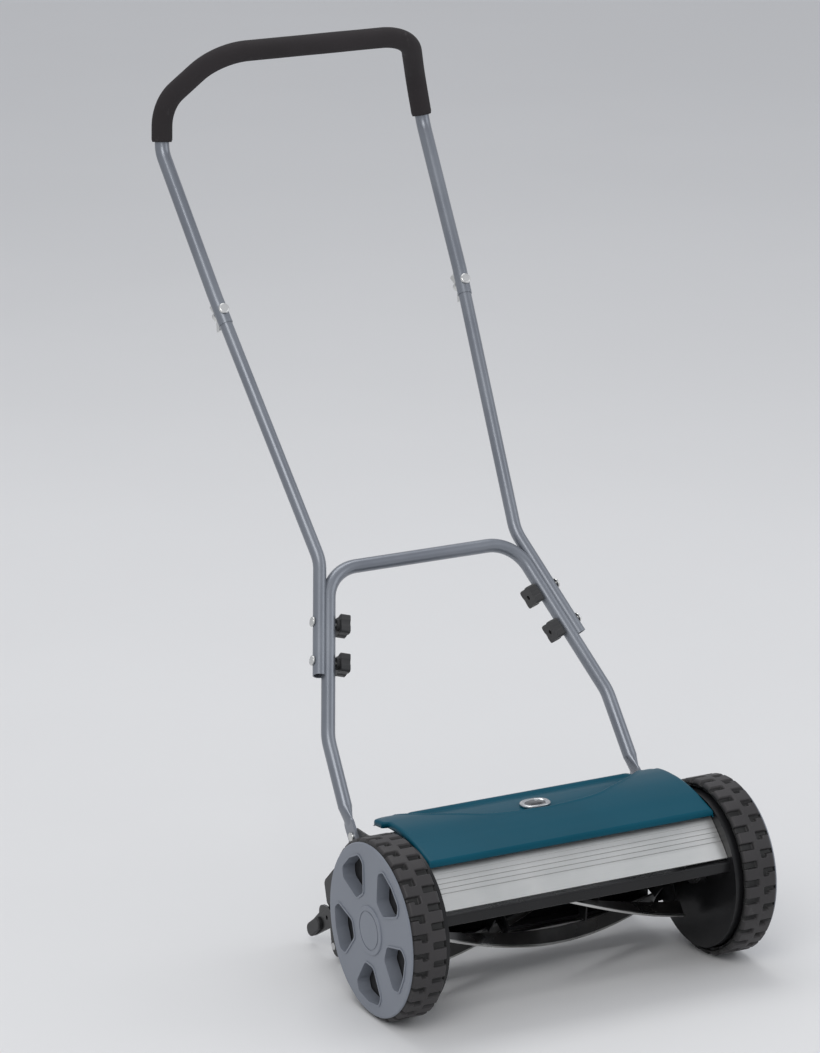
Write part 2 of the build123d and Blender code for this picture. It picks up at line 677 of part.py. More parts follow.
def make_wing_nut():
    """A pressed wing nut behind the tube."""
    seat = loop_bolt_plane(LOOP_TUBE_R + 0.5)
    hub = extrude(seat * Circle(6.5), 8.0)
    wing = Plane(origin=seat.origin, x_dir=seat.x_dir, z_dir=seat.z_dir)
    blade = make_face(Polyline((5, 1.5), (20, 8), (19, 18), (8, 12), (5, 7), close=True))
    side = wing * Plane.XZ * Pos(0, 0, -1.2) * blade
    wings = extrude(side, 2.4)
    pair = wings + mirror(wings, about=Plane(origin=seat.origin, z_dir=seat.x_dir))
    return hub + pair - extrude(seat.offset(-1) * Circle(3.0 + RUNNING_GAP), 30.0)


def make_leg_bolts():
    """Bolts that hold the handle's feet to the side plates."""
    bolts = []
    for y, z in LEG_BOLTS:
        right = bolt((PLATE_X + PLATE_THICK + 4.0, y, z), (-1, 0, 0), 3.0, 14.0, 6.5, 3.0)
        nut = extrude(Plane(origin=(PLATE_X, y, z), z_dir=(-1, 0, 0)) * (RegularPolygon(6, 6) - Circle(3.0)), 5.0)
        both = right + nut
        bolts += [both, mirrored(both)]
    return bolts


def both_sides(name, shape):
    """The right-hand part and its mirror image."""
    return {f"{name}_right": shape, f"{name}_left": mirrored(shape)}


def pair(shape):
    """The right-hand part and its mirror image as two solids of one node."""
    return Compound([*shape.solids(), *mirrored(shape).solids()])


def build():
    nodes = {}
    nodes.update(both_sides("tyre", make_tyre()))
    nodes.update(both_sides("wheel_body", make_wheel_body()))
    nodes.update(both_sides("wheel_disc", make_wheel_disc()))
    nodes.update(both_sides("hub_cap", make_hub_cap()))
    nodes.update(both_sides("axle", make_axle()))
    nodes["axle_clips"] = pair(make_axle_clip())
    nodes["reel_shaft"] = make_reel_shaft()
    for i in range(BLADE_COUNT):
        nodes[f"reel_blade_{i + 1}"] = make_blade(i)
    for i, x in enumerate(SPIDER_X):
        nodes[f"reel_spider_{i + 1}"] = make_spider(x)
    nodes.update(both_sides("reel_bearing", make_reel_bearing()))
    nodes.update(both_sides("pinion", make_pinion()))
    nodes["pinion_clips"] = pair(make_pinion_clip())
    nodes.update(both_sides("side_plate", make_side_plate()))
    nodes["front_tie_bar"] = make_front_tie_bar()
    nodes["rear_tie_rod"] = make_rear_tie_rod()
    nodes["deflector_panel"] = make_deflector()
    nodes["top_cover"] = make_cover()
    nodes["badge"] = make_badge()
    nodes["bed_knife"] = make_bed_knife()
    nodes["knife_carrier"] = make_knife_carrier()
    nodes["tie_screws"] = make_tie_screws()
    nodes.update(both_sides("roller_arm", make_roller_arm()))
    nodes.update(both_sides("lever_pad", make_lever_pad()))
    nodes["roller_rod"] = make_roller_rod()
    nodes["roller_drums"] = Compound(make_roller())
    nodes["roller_pivot_bolts"] = pair(make_pivot_bolt())
    nodes["height_clamp_bolts"] = pair(make_clamp_bolt())
    nodes["lower_handle_frame"] = make_lower_frame()
    nodes.update(both_sides("side_tube", make_side_tube()))
    nodes["handle_loop"] = make_handle_loop()
    nodes["foam_grip"] = make_grip()
    nodes["frame_bolts"] = Compound(make_frame_bolts())
    nodes["leg_bolts"] = Compound(make_leg_bolts())
    for side, word in ((1, "right"), (-1, "left")):
        for s, level in zip(FRAME_BOLTS, ("lower", "upper")):
            nodes[f"frame_knob_{word}_{level}"] = make_frame_knob(side, s)
    nodes["loop_bolts"] = pair(make_loop_bolt())
    nodes.update(both_sides("wing_nut", make_wing_nut()))
    return nodes


def main():
    os.makedirs("parts", exist_ok=True)
    for name, shape in build().items():
        export_step(shape, f"parts/{name}.step")


main()
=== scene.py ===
import bpy
import bmesh
import json
import math
from mathutils import Matrix, Vector


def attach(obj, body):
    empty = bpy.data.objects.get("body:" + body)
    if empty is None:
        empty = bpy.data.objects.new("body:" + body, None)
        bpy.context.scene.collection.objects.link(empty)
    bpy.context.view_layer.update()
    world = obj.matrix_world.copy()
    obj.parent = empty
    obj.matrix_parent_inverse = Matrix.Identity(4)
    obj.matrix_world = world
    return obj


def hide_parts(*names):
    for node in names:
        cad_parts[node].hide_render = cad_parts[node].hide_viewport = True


# The mower's looks: the CAD frame with its finishes, and the parts whose shape is moulded or soft.
# Metres, in the row frame: X along the axles, the front faces -Y, the ground is Z = 0.

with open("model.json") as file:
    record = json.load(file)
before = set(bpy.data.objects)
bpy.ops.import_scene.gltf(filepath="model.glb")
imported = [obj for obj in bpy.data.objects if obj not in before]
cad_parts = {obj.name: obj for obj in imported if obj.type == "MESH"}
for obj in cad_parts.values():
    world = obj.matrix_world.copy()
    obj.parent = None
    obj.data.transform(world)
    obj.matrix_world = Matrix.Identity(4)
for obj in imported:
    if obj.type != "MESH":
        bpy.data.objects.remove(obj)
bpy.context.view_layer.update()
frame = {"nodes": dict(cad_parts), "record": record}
nodes = frame["nodes"]
scene = bpy.context.scene

# ---- axes that the finishes and the tyres are worked out from ----
WHEEL_AXIS = (0.0, 0.120)
REEL_AXIS = (0.04518, 0.10704)


# ---- node helpers ----
def link(tree, source, target):
    tree.links.new(source, target)


def object_coords(tree):
    return [node for node in tree.nodes if node.type == "TEX_COORD"][0].outputs["Object"]


def noise(tree, coords, scale, detail, rough=0.55, stretch=None):
    """A noise texture in object space, stretched along an axis where the finish has a direction."""
    texture = tree.nodes.new("ShaderNodeTexNoise")
    texture.inputs["Scale"].default_value = scale
    texture.inputs["Detail"].default_value = detail
    texture.inputs["Roughness"].default_value = rough
    if stretch:
        mapping = tree.nodes.new("ShaderNodeMapping")
        mapping.inputs["Scale"].default_value = stretch
        link(tree, coords, mapping.inputs["Vector"])
        coords = mapping.outputs["Vector"]
    link(tree, coords, texture.inputs["Vector"])
    return texture.outputs["Fac"]


def mix_colour(tree, factor, first, second):
    """Blends two colours; each is a socket or a fixed colour."""
    node = tree.nodes.new("ShaderNodeMix")
    node.data_type = "RGBA"
    link(tree, factor, node.inputs["Factor"])
    for value, name in ((first, "A"), (second, "B")):
        socket = [s for s in node.inputs if s.name == name and s.type == "RGBA"][0]
        if isinstance(value, tuple):
            socket.default_value = (*value, 1.0)
        else:
            link(tree, value, socket)
    return [s for s in node.outputs if s.type == "RGBA"][0]


def ramp(tree, value, low, high, out_low=0.0, out_high=1.0):
    """Maps a value smoothly from one range to another."""
    node = tree.nodes.new("ShaderNodeMapRange")
    node.interpolation_type = "SMOOTHSTEP"
    node.inputs["From Min"].default_value = low
    node.inputs["From Max"].default_value = high
    node.inputs["To Min"].default_value = out_low
    node.inputs["To Max"].default_value = out_high
    link(tree, value, node.inputs["Value"])
    return node.outputs["Result"]


def by_radius(tree, axis, low, high):
    """0 inside a radius about an axis along X and 1 outside it."""
    shift = tree.nodes.new("ShaderNodeVectorMath")
    shift.operation = "SUBTRACT"
    shift.inputs[1].default_value = (0.0, *axis)
    link(tree, object_coords(tree), shift.inputs[0])
    flat = tree.nodes.new("ShaderNodeVectorMath")
    flat.operation = "MULTIPLY"
    flat.inputs[1].default_value = (0.0, 1.0, 1.0)
    link(tree, shift.outputs["Vector"], flat.inputs[0])
    length = tree.nodes.new("ShaderNodeVectorMath")
    length.operation = "LENGTH"
    link(tree, flat.outputs["Vector"], length.inputs[0])
    return ramp(tree, length.outputs["Value"], low, high)


# ---- finishes ----
WEAR_SCALE = 75.0
WEAR_FADE = 0.12
ROUGH_BELOW = 0.06
ROUGH_ABOVE = 0.07
RELIEF_STRENGTH = 0.5
COAT_ROUGHNESS = 0.12
ALONG_X = (0.02, 1.0, 1.0)


def add_relief(tree, shader, coords, fine, cells, depth):
    """A fine grain in relief, with pits among it where the finish has cells."""
    height = fine
    if cells:
        pits = tree.nodes.new("ShaderNodeTexVoronoi")
        pits.inputs["Scale"].default_value = cells
        link(tree, coords, pits.inputs["Vector"])
        blend = tree.nodes.new("ShaderNodeMath")
        blend.operation = "ADD"
        link(tree, pits.outputs["Distance"], blend.inputs[0])
        link(tree, fine, blend.inputs[1])
        height = blend.outputs["Value"]
    bump = tree.nodes.new("ShaderNodeBump")
    bump.inputs["Strength"].default_value = RELIEF_STRENGTH
    bump.inputs["Distance"].default_value = depth
    link(tree, height, bump.inputs["Height"])
    link(tree, bump.outputs["Normal"], shader.inputs["Normal"])


def finish(name, base, shade, rough, grain, depth, metallic=0.0, stretch=None, wear=None, wear_from=0.66,
           coat=0.0, mottle=9.0, cells=None, specular=0.5):
    """Two mottled tones, worn or dusty spots, varied roughness and a fine grain in relief."""
    material = bpy.data.materials.new(name)
    material.use_nodes = True
    tree = material.node_tree
    shader = tree.nodes["Principled BSDF"]
    coords = tree.nodes.new("ShaderNodeTexCoord").outputs["Object"]
    broad = noise(tree, coords, mottle, 5.0)
    colour = mix_colour(tree, ramp(tree, broad, 0.3, 0.7), base, shade)
    fine = noise(tree, coords, grain, 4.0, stretch=stretch)
    if wear:
        spots = noise(tree, coords, WEAR_SCALE, 9.0, 0.72, stretch)
        colour = mix_colour(tree, ramp(tree, spots, wear_from, wear_from + WEAR_FADE), colour, wear)
    if stretch:
        colour = mix_colour(tree, ramp(tree, fine, 0.25, 0.75, 0.0, 0.35), colour, shade)
    roughness = ramp(tree, broad, 0.25, 0.75, rough - ROUGH_BELOW, rough + ROUGH_ABOVE)
    link(tree, colour, shader.inputs["Base Color"])
    link(tree, roughness, shader.inputs["Roughness"])
    add_relief(tree, shader, coords, fine, cells, depth)
    shader.inputs["Metallic"].default_value = metallic
    shader.inputs["Specular IOR Level"].default_value = specular
    shader.inputs["Coat Weight"].default_value = coat
    shader.inputs["Coat Roughness"].default_value = COAT_ROUGHNESS
    return material


FINISHES = {}


def add_finish(name, *tones, **more):
    FINISHES[name] = finish(name, *tones, **more)


add_finish("tyre_rubber", (0.020, 0.018, 0.019), (0.031, 0.028, 0.029), rough=0.52, grain=900, depth=0.00012,
           wear=(0.052, 0.049, 0.050), wear_from=0.60)
add_finish("wheel_black", (0.012, 0.012, 0.013), (0.02, 0.02, 0.021), rough=0.50, grain=1200, depth=0.00006,
           wear=(0.05, 0.05, 0.05))
add_finish("disc_grey", (0.180, 0.198, 0.233), (0.207, 0.225, 0.261), rough=0.42, grain=1500, depth=0.00005,
           wear=(0.26, 0.28, 0.31), wear_from=0.72)
add_finish("black_paint", (0.006, 0.006, 0.0065), (0.010, 0.010, 0.011), rough=0.30, grain=500, depth=0.00005,
           wear=(0.025, 0.025, 0.026), coat=0.08, specular=0.3)
add_finish("blade_steel", (0.34, 0.34, 0.33), (0.50, 0.50, 0.49), rough=0.28, grain=700, depth=0.00004,
           metallic=1.0, stretch=ALONG_X, wear=(0.16, 0.14, 0.12), wear_from=0.70)
add_finish("steel", (0.42, 0.42, 0.42), (0.55, 0.55, 0.55), rough=0.30, grain=600, depth=0.00003,
           metallic=1.0, wear=(0.22, 0.20, 0.18), wear_from=0.70)
add_finish("gear_steel", (0.30, 0.29, 0.28), (0.42, 0.41, 0.40), rough=0.40, grain=500, depth=0.00004,
           metallic=1.0, wear=(0.10, 0.09, 0.08))
add_finish("bearing_brass", (0.60, 0.43, 0.18), (0.72, 0.54, 0.26), rough=0.34, grain=500, depth=0.00003,
           metallic=1.0, wear=(0.30, 0.20, 0.09))
add_finish("bolt_zinc", (0.58, 0.58, 0.56), (0.72, 0.72, 0.71), rough=0.30, grain=800, depth=0.00003,
           metallic=1.0, wear=(0.36, 0.34, 0.30), wear_from=0.68)
add_finish("cover_teal", (0.002, 0.063, 0.099), (0.003, 0.073, 0.114), rough=0.34, grain=1300, depth=0.00005,
           coat=0.02, wear=(0.012, 0.100, 0.145), wear_from=0.74, mottle=5.0, specular=0.10)
add_finish("panel_aluminium", (0.50, 0.51, 0.50), (0.59, 0.59, 0.58), rough=0.36, grain=900, depth=0.00003,
           metallic=0.75, stretch=ALONG_X, wear=(0.44, 0.43, 0.42), wear_from=0.70)
add_finish("badge_silver", (0.50, 0.51, 0.52), (0.66, 0.67, 0.68), rough=0.22, grain=900, depth=0.00002,
           metallic=0.9, coat=0.5, wear=(0.40, 0.40, 0.40))
add_finish("tube_grey", (0.190, 0.205, 0.235), (0.225, 0.242, 0.272), rough=0.33, grain=650, depth=0.00005,
           metallic=0.55, wear=(0.38, 0.39, 0.41), wear_from=0.72, coat=0.25)
add_finish("foam_black", (0.021, 0.018, 0.019), (0.030, 0.026, 0.028), rough=0.88, grain=1500, depth=0.00030,
           wear=(0.050, 0.045, 0.047), wear_from=0.60, cells=900, specular=0.3)
add_finish("knob_black", (0.016, 0.016, 0.017), (0.026, 0.026, 0.027), rough=0.45, grain=1100, depth=0.00008,
           wear=(0.07, 0.07, 0.07))
add_finish("reel_blade", (0.40, 0.40, 0.39), (0.58, 0.58, 0.57), rough=0.30, grain=700, depth=0.00004,
           stretch=ALONG_X, wear=(0.20, 0.18, 0.16), wear_from=0.70)
add_finish("badge_dark", (0.010, 0.011, 0.013), (0.022, 0.024, 0.028), rough=0.20, grain=900, depth=0.00002,
           coat=0.5, wear=(0.05, 0.05, 0.06))

# ---- finishes that change with the radius ----
BLADE_GROUND_R = 0.0672
BLADE_GROUND_FADE = 0.0003
BLADE_PAINT = (0.008, 0.008, 0.008)
BLADE_PAINT_WORN = (0.022, 0.020, 0.019)
GROOVE_R = 0.1150
TREAD_BLOCK_R = 0.1190
# The grooves' colour is painted shade, darker than the rubber itself.
GROOVE_PAINTED_SHADE = (0.007, 0.0068, 0.0066)


def grind_edge(material):
    """Bright ground metal on a blade's outer edge, black paint further in."""
    tree = material.node_tree
    shader = tree.nodes["Principled BSDF"]
    painted_to = BLADE_GROUND_R - BLADE_GROUND_FADE
    bright_from = BLADE_GROUND_R + BLADE_GROUND_FADE
    bright = by_radius(tree, REEL_AXIS, painted_to, bright_from)
    metal = shader.inputs["Base Color"].links[0].from_socket
    patches = ramp(tree, noise(tree, object_coords(tree), 40.0, 6.0), 0.35, 0.7)
    paint = mix_colour(tree, patches, BLADE_PAINT, BLADE_PAINT_WORN)
    link(tree, mix_colour(tree, bright, paint, metal), shader.inputs["Base Color"])
    link(tree, bright, shader.inputs["Metallic"])


def paint_groove_shade(material):
    """Painted shade in the tread's grooves, darker than the rubber itself, and the scuffed rubber finish on
    its blocks.
    """
    tree = material.node_tree
    shader = tree.nodes["Principled BSDF"]
    # 0 in the grooves, where the shade is painted, and 1 on the blocks.
    blocks = by_radius(tree, WHEEL_AXIS, GROOVE_R, TREAD_BLOCK_R)
    scuffed = shader.inputs["Base Color"].links[0].from_socket
    link(tree, mix_colour(tree, blocks, GROOVE_PAINTED_SHADE, scuffed), shader.inputs["Base Color"])


grind_edge(FINISHES["reel_blade"])
# Painted shade darkens the tyres' grooves.
paint_groove_shade(FINISHES["tyre_rubber"])


def dress_frame():
    """Gives every CAD node its slot's finish; the reel's blades have their own."""
    for entry in frame["record"]["subparts"]:
        node = nodes[entry["node"]]
        is_blade = entry["node"].startswith("reel_blade")
        node.data.materials.clear()
        node.data.materials.append(FINISHES["reel_blade" if is_blade else entry["material_slot"]])


# ---- mesh helpers ----
def new_piece(name, mesh_builder, body, replaced, slot):
    """Makes an object from a bmesh in its slot's finish, and joins it to the frame."""
    mesh = bpy.data.meshes.new(name)
    shape = bmesh.new()
    mesh_builder(shape)
    bmesh.ops.recalc_face_normals(shape, faces=shape.faces)
    shape.to_mesh(mesh)
    shape.free()
    for face in mesh.polygons:
        face.use_smooth = True
    piece = bpy.data.objects.new(name, mesh)
    scene.collection.objects.link(piece)
    mesh.materials.append(FINISHES[slot])
    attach(piece, body)
    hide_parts(replaced)
    return piece


def grid_faces(shape, rows, wrap_rows=False, wrap_columns=False):
    """Joins rows of vertices into quads."""
    count = len(rows)
    width = len(rows[0])
    for i in range(count if wrap_rows else count - 1):
        for j in range(width if wrap_columns else width - 1):
            a, b = rows[i], rows[(i + 1) % count]
            k = (j + 1) % width
            shape.faces.new((a[j], a[k], b[k], b[j]))


def smoothstep(value, low, high):
    """0 below a range and 1 above it, with a smooth rise between."""
    t = min(1.0, max(0.0, (value - low) / (high - low)))
    return t * t * (3 - 2 * t)


def spline(points, value):
    """A smooth curve y(x) through points that are sorted by x."""
    if value <= points[0][0]:
        return points[0][1]
    for i in range(len(points) - 1):
        x0, y0 = points[i]
        x1, y1 = points[i + 1]
        if value <= x1:
            before = points[max(i - 1, 0)]
            after = points[min(i + 2, len(points) - 1)]
            m0 = (y1 - before[1]) / (x1 - before[0]) * (x1 - x0)
            m1 = (after[1] - y0) / (after[0] - x0) * (x1 - x0)
            t = (value - x0) / (x1 - x0)
            return ((2 * t**3 - 3 * t**2 + 1) * y0 + (t**3 - 2 * t**2 + t) * m0
                    + (3 * t**2 - 2 * t**3) * y1 + (t**3 - t**2) * m1)
    return points[-1][1]


def filleted_path(points, radii, step):
    """Samples a polyline whose corners are arcs, about one point each step."""
    path = [points[0]]

    def run_to(end):
        start = path[-1]
        pieces = max(1, int((end - start).length / step))
        for i in range(1, pieces + 1):
            path.append(start.lerp(end, i / pieces))

    for i, radius in enumerate(radii, 1):
        corner = points[i]
        back = (points[i - 1] - corner).normalized()
        ahead = (points[i + 1] - corner).normalized()
        half = back.angle(ahead) / 2
        reach = radius / math.tan(half)
        centre = corner + (back + ahead).normalized() * radius / math.sin(half)
        start, end = corner + back * reach, corner + ahead * reach
        run_to(start)
        sweep = math.pi - 2 * half
        pieces = max(3, int(radius * sweep / step))
        first, last = start - centre, end - centre
        for k in range(1, pieces + 1):
            t = k / pieces
            turned = (first * math.sin((1 - t) * sweep) + last * math.sin(t * sweep)) / math.sin(sweep)
            path.append(centre + turned)
    run_to(points[-1])
    return path


# ---- foam grip ----
LOOP_BEND = Vector((0.2044, 0.7456, 1.0041))
LOOP_SHOULDER = Vector((0.1979, 0.7564, 1.0679))
LOOP_CORNER = Vector((0.1483, 0.6797, 1.1463))
GRIP_OFFSET = 0.013
GRIP_BENDS = [0.060, 0.070, 0.070, 0.060]
GRIP_STEP = 0.003
GRIP_SIDES = 40
GRIP_R = 0.0145
GRIP_END_R = GRIP_R - 0.0012
GRIP_BORE = 0.01005
FOAM_MEAN = 0.992
FOAM_WAVE = 0.006
FOAM_SWELL = 0.006
FOAM_ROUND = 0.0010
FOAM_ROUND_LENGTH = 0.003


def grip_sections(path):
    """Each point of the path with its direction, a steady sideways direction and its distance along."""
    across = (path[1] - path[0]).normalized().orthogonal().normalized()
    along = 0.0
    sections = []
    for i, point in enumerate(path):
        before = path[max(i - 1, 0)]
        after = path[min(i + 1, len(path) - 1)]
        along += (point - before).length
        tangent = (after - before).normalized()
        across = (across - tangent * across.dot(tangent)).normalized()
        sections.append((point, tangent, across, along))
    return sections


def grip_ring(shape, section, radius, swell=0.0):
    """A ring of vertices round the path, bulging a little on two sides by the swell."""
    point, tangent, across, _ = section
    up = tangent.cross(across)
    vertices = []
    for k in range(GRIP_SIDES):
        angle = 2 * math.pi * k / GRIP_SIDES
        reach = radius * (1 + swell * math.sin(2 * angle + 1.3))
        vertices.append(shape.verts.new(point + (across * math.cos(angle) + up * math.sin(angle)) * reach))
    return vertices


def foam_radius(along, total):
    """The foam's radius: a little uneven along its length, and rounded off at its cut ends."""
    wave = FOAM_WAVE * math.sin(along * 61.0) * math.sin(along * 17.0)
    from_end = min(along, total - along)
    return GRIP_R * (FOAM_MEAN + wave) - FOAM_ROUND * (1 - smoothstep(from_end, 0.0, FOAM_ROUND_LENGTH))


def build_grip(shape):
    """A foam tube over the loop, from one side tube round to the other."""
    start = LOOP_BEND + (LOOP_SHOULDER - LOOP_BEND).normalized() * GRIP_OFFSET
    right = [start, LOOP_SHOULDER, LOOP_CORNER]
    points = right + [Vector((-p.x, p.y, p.z)) for p in reversed(right)]
    sections = grip_sections(filleted_path(points, GRIP_BENDS, GRIP_STEP))
    first, between, last = sections[0], sections[1:-1], sections[-1]
    total = last[3]
    rows = [grip_ring(shape, first, GRIP_BORE), grip_ring(shape, first, GRIP_END_R)]
    rows += [grip_ring(shape, section, foam_radius(section[3], total), FOAM_SWELL) for section in between]
    rows += [grip_ring(shape, last, GRIP_END_R), grip_ring(shape, last, GRIP_BORE)]
    rows += [grip_ring(shape, section, GRIP_BORE) for section in reversed(between)]
    grid_faces(shape, rows, wrap_rows=True, wrap_columns=True)


# ---- top cover ----
COVER_HALF = 0.2126
COVER_WALL = 0.0024
COVER_TOP = [(-0.0500, 0.2180), (-0.0300, 0.2240), (-0.0030, 0.2318), (0.0300, 0.2370), (0.0640, 0.2375),
             (0.0860, 0.2355), (0.0990, 0.2325)]
COVER_FRONT = COVER_TOP[0][0]
COVER_BACK = COVER_TOP[-1][0]
COVER_COLUMNS = 170
COVER_ROWS = 90
CREASE = [(0.0, 0.022), (0.059, 0.028), (0.090, 0.036), (0.110, 0.047), (0.156, 0.073), (0.185, 0.097),
          (0.213, 0.120)]
CREASE_DROP = 0.0050
CREASE_SLOPE = 0.0050
RIDGE_HEIGHT = 0.0009
RIDGE_WIDTH = 0.0022
RIDGE_AHEAD = 0.0015
CORNER_R = 0.014
TAB_REACH = 0.0084
TAB_FROM = 0.0655
TAB_EDGE = 0.0015
FRONT_LIP = [(0.0008, 0.0085), (0.0, 0.0070), (0.0, 0.0040), (0.0006, 0.0015), (0.0022, 0.0)]
BACK_LIP = [(0.0030, 0.0), (0.0008, 0.0012), (0.0, 0.0036), (0.0, 0.0070), (0.0010, 0.0090)]
SIDE_LIP = [(0.0030, 0.0), (0.0009, 0.0009), (0.0, 0.0030), (0.0, 0.0080)]


def cover_height(x, y):
    """The top surface: a shallow crest, with a recess behind a smile-shaped crease."""
    behind = y - spline(CREASE, abs(x))
    recess = CREASE_DROP * smoothstep(behind, 0.0, CREASE_SLOPE)
    ridge = RIDGE_HEIGHT * math.exp(-((behind + RIDGE_AHEAD) / RIDGE_WIDTH) ** 2)
    rear_rise = CREASE_DROP * smoothstep(y, 0.084, 0.094) * smoothstep(behind, 0.0, 0.02)
    return spline(COVER_TOP, y) - recess + ridge + rear_rise


def rounded_corner(x, y):
    """Pulls the two rear corners in to a radius, seen from above."""
    middle_x = COVER_HALF - CORNER_R
    middle_y = COVER_BACK - CORNER_R
    over_x = abs(x) - middle_x
    over_y = y - middle_y
    if over_x <= 0 or over_y <= 0:
        return x, y
    scale = max(over_x, over_y) / math.hypot(over_x, over_y)
    return math.copysign(middle_x + over_x * scale, x), middle_y + over_y * scale


def rear_tab(x, y):
    """How far the left edge reaches out at the rear."""
    return TAB_REACH * smoothstep(y, TAB_FROM - TAB_EDGE, TAB_FROM + TAB_EDGE) * smoothstep(-x, 0.196, 0.206)


def cover_columns():
    """Places across the cover from lip to lip, each with its drop below the top."""
    inner = COVER_HALF - 0.006
    columns = [(-COVER_HALF + inset, drop) for inset, drop in reversed(SIDE_LIP)]
    columns += [(-inner + 2 * inner * i / COVER_COLUMNS, 0.0) for i in range(COVER_COLUMNS + 1)]
    return columns + [(COVER_HALF - inset, drop) for inset, drop in SIDE_LIP]


def cover_rows():
    """Places from the front lip to the rear one, each with its drop below the top."""
    start = COVER_FRONT + 0.004
    end = COVER_BACK - 0.005
    places = [(COVER_FRONT + inset, drop) for inset, drop in FRONT_LIP]
    places += [(start + (end - start) * i / COVER_ROWS, 0.0) for i in range(COVER_ROWS + 1)]
    return places + [(COVER_BACK - inset, drop) for inset, drop in BACK_LIP]


def build_cover(shape):
    """The moulded cover as one skin with rounded lips all round."""
    rows = []
    for y, drop_y in cover_rows():
        row = []
        for x, drop_x in cover_columns():
            on_corner = min(drop_x, drop_y) > 0
            drop = max(drop_x, drop_y) if on_corner else drop_x + drop_y
            place_x, place_y = rounded_corner(x, y)
            row.append(shape.verts.new((place_x - rear_tab(x, y), place_y, cover_height(x, y) - drop)))
        rows.append(row)
    grid_faces(shape, rows)


def add_cover():
    cover = new_piece("cover_skin", build_cover, "chassis", "top_cover", "cover_teal")
    wall = cover.modifiers.new("wall", "SOLIDIFY")
    wall.thickness = COVER_WALL
    wall.offset = -1.0


# ---- badge ----
BADGE_CENTRE = Vector((-0.005, 0.044, 0.2342))
BADGE_WIDE = 0.0210
BADGE_DEEP = 0.0155
BADGE_SQUARENESS = 0.82
BADGE_SIDES = 64
BADGE_LEVELS = [(1.0, -0.0010), (1.0, 0.0018), (0.95, 0.0027), (0.84, 0.0029), (0.74, 0.0025), (0.70, 0.0015),
                (0.68, 0.0014), (0.45, 0.0021), (0.22, 0.0024)]
BADGE_RIM_FROM = 0.70


def badge_ring(shape, size, height):
    """One level of the plate: an oval with slightly squared ends."""
    row = []
    for k in range(BADGE_SIDES):
        angle = 2 * math.pi * k / BADGE_SIDES
        c, s = math.cos(angle), math.sin(angle)
        x = math.copysign(abs(c) ** BADGE_SQUARENESS, c) * BADGE_WIDE * size
        y = math.copysign(abs(s) ** BADGE_SQUARENESS, s) * BADGE_DEEP * size
        row.append(shape.verts.new(BADGE_CENTRE + Vector((x, y, height))))
    return row


def build_badge(shape):
    """A small blank plate: a raised silver rim round a dark glossy centre."""
    rows = [badge_ring(shape, size, height) for size, height in BADGE_LEVELS]
    grid_faces(shape, rows, wrap_columns=True)
    shape.faces.new(rows[-1])
    shape.faces.new(list(reversed(rows[0])))
    for face in shape.faces:
        middle = face.calc_center_median() - BADGE_CENTRE
        if math.hypot(middle.x / BADGE_WIDE, middle.y / BADGE_DEEP) < BADGE_RIM_FROM and middle.z > 0.0005:
            face.material_index = 1


def add_badge():
    badge = new_piece("badge_plate", build_badge, "chassis", "badge", "badge_silver")
    badge.data.materials.append(FINISHES["badge_dark"])


# ---- tyres ----
TYRE_INNER_X = 0.223
TYRE_WIDTH = 0.048
TYRE_R = 0.120
TYRE_WALL_R = TYRE_R - 0.0050
TYRE_BED = 0.113
TYRE_CROWN = [0.0006, 0.0022] + [0.004 + 0.040 * i / 30 for i in range(31)] + [0.0458, 0.0474]
SHOULDER_DROP = 0.0040
SHOULDER_WIDTH = 0.0042
TREAD_COUNT = 30
TREAD_STEPS = 28
TREAD_DEPTH = 0.0052
TREAD_EDGE = 0.0007
POCKET_REACH = 0.0200
OUTER_POCKET_HALF = 0.0052
INNER_POCKET_HALF = 0.0046
ISLAND_HALF = 0.0022
ISLAND_REACH = 0.0120
ISLAND_SHIFT = 0.0030


def slot_depth(along, across, half_width, reach):
    """How deep one pocket is at a point: 1 inside, fading to 0 over its rounded edge."""
    beside = smoothstep(abs(along), half_width - TREAD_EDGE, half_width + TREAD_EDGE)
    beyond = smoothstep(across, reach - TREAD_EDGE, reach + TREAD_EDGE)
    return (1 - beside) * (1 - beyond)


def tread(angle, across):
    """Depth of the tread at an angle and a distance in from the tyre's inner side, between 0 and 1."""
    pitch = 2 * math.pi / TREAD_COUNT
    outer = ((angle + pitch / 2) % pitch - pitch / 2) * TYRE_R
    inner = (angle % pitch - pitch / 2) * TYRE_R
    from_outer = TYRE_WIDTH - across
    pocket = slot_depth(outer, from_outer, OUTER_POCKET_HALF, POCKET_REACH)
    island = slot_depth(outer - ISLAND_SHIFT, from_outer, ISLAND_HALF, ISLAND_REACH)
    return max(pocket - island, slot_depth(inner, across, INNER_POCKET_HALF, POCKET_REACH))


def tyre_section(angle):
    """The tyre's outline at an angle: places across it, each with its radius."""
    section = [(0.0, TYRE_BED), (0.0, TYRE_WALL_R)]
    for across in TYRE_CROWN:
        from_side = min(across, TYRE_WIDTH - across)
        shoulder = SHOULDER_DROP * (1 - smoothstep(from_side, 0.0, SHOULDER_WIDTH)) ** 1.5
        section.append((across, TYRE_R - shoulder - TREAD_DEPTH * tread(angle, across)))
    return section + [(TYRE_WIDTH, TYRE_WALL_R), (TYRE_WIDTH, TYRE_BED)]


def tyre_point(side, angle, across, radius):
    axis_y, axis_z = WHEEL_AXIS
    x = side * (TYRE_INNER_X + across)
    return (x, axis_y + radius * math.cos(angle), axis_z + radius * math.sin(angle))


def tyre_builder(side):
    """The builder of one side's tyre, a closed tube with two staggered rows of pockets."""
    def build_tyre(shape):
        turns = TREAD_COUNT * TREAD_STEPS
        rows = []
        for i in range(turns):
            angle = 2 * math.pi * i / turns
            rows.append([shape.verts.new(tyre_point(side, angle, *place)) for place in tyre_section(angle)])
        grid_faces(shape, rows, wrap_rows=True, wrap_columns=True)
    return build_tyre


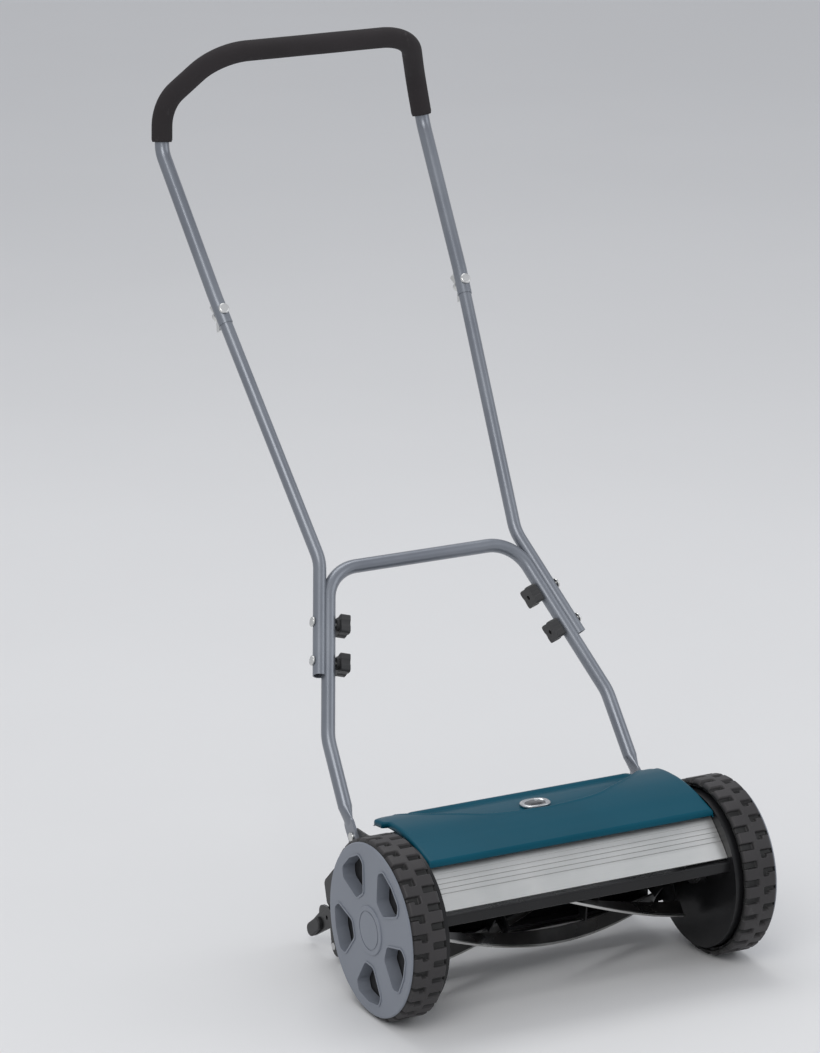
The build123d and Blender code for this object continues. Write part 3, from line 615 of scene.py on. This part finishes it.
# ---- studio ----
CAMERA_AZIMUTH = math.radians(-27.762)
CAMERA_ELEVATION = math.radians(16.027)
CAMERA_ROLL = math.radians(-0.269)
CAMERA_DISTANCE = 6.3701
CAMERA_TARGET = Vector((0.0, 0.4035, 0.5231))
CAMERA_LENS = 159.32
SENSOR_WIDTH = 36.0
FLOOR_SIZE = 30.0
SKY_COLOUR = (0.93, 0.95, 1.0, 1.0)
SKY_STRENGTH = 0.62


def place_camera():
    """The camera looks at the mower from its front left and a little above."""
    a, e = CAMERA_AZIMUTH, CAMERA_ELEVATION
    away = Vector((math.sin(a) * math.cos(e), -math.cos(a) * math.cos(e), math.sin(e)))
    right = Vector((math.cos(a), math.sin(a), 0.0))
    up = away.cross(right)
    tilted_right = right * math.cos(CAMERA_ROLL) + up * math.sin(CAMERA_ROLL)
    tilted_up = away.cross(tilted_right)
    camera_data = bpy.data.cameras.new("camera")
    camera_data.lens = CAMERA_LENS
    camera_data.sensor_width = SENSOR_WIDTH
    camera_data.clip_end = 2 * FLOOR_SIZE
    camera = bpy.data.objects.new("camera", camera_data)
    spot = CAMERA_TARGET + away * CAMERA_DISTANCE
    turn = Matrix((tilted_right, tilted_up, away)).transposed().to_4x4()
    camera.matrix_world = Matrix.Translation(spot) @ turn
    scene.collection.objects.link(camera)
    scene.camera = camera


def soft_light(name, spot, target, size, power, tint):
    """A rectangular lamp at a spot, turned to its target."""
    lamp = bpy.data.lights.new(name, "AREA")
    lamp.shape = "RECTANGLE"
    lamp.size, lamp.size_y = size
    lamp.energy = power
    lamp.color = tint
    holder = bpy.data.objects.new(name, lamp)
    direction = Vector(target) - Vector(spot)
    turn = direction.to_track_quat("-Z", "Y").to_matrix().to_4x4()
    holder.matrix_world = Matrix.Translation(spot) @ turn
    scene.collection.objects.link(holder)


def lay_floor():
    """A plain pale floor."""
    mesh = bpy.data.meshes.new("floor")
    shape = bmesh.new()
    bmesh.ops.create_grid(shape, x_segments=1, y_segments=1, size=FLOOR_SIZE)
    shape.to_mesh(mesh)
    shape.free()
    floor = bpy.data.objects.new("floor", mesh)
    scene.collection.objects.link(floor)
    paint = finish("floor_paint", (0.74, 0.74, 0.74), (0.76, 0.76, 0.76), rough=0.75, grain=40, depth=0.0002,
                   mottle=0.6)
    mesh.materials.append(paint)


def light_studio():
    """Soft light from all round, a key light, a fill light and one from above."""
    world = bpy.data.worlds.new("studio")
    world.use_nodes = True
    sky = world.node_tree.nodes["Background"]
    sky.inputs["Color"].default_value = SKY_COLOUR
    sky.inputs["Strength"].default_value = SKY_STRENGTH
    scene.world = world
    soft_light("key_light", (-2.2, -2.6, 3.6), (0.0, 0.2, 0.4), (2.4, 2.4), 62, (1.0, 0.99, 0.97))
    soft_light("fill_light", (3.2, -1.8, 2.2), (0.0, 0.2, 0.3), (2.4, 2.4), 20, (0.96, 0.98, 1.0))
    soft_light("top_light", (0.3, 1.8, 4.2), (0.0, 0.2, 0.2), (3.0, 2.0), 45, (1.0, 1.0, 1.0))
    scene.view_settings.view_transform = "Standard"


dress_frame()
grip = new_piece("grip_foam", build_grip, "chassis", "foam_grip", "foam_black")
add_cover()
add_badge()
for side, word in ((-1, "left"), (1, "right")):
    new_piece(f"tyre_tread_{word}", tyre_builder(side), f"wheel_{word}", f"tyre_{word}", "tyre_rubber")
lay_floor()
light_studio()
place_camera()
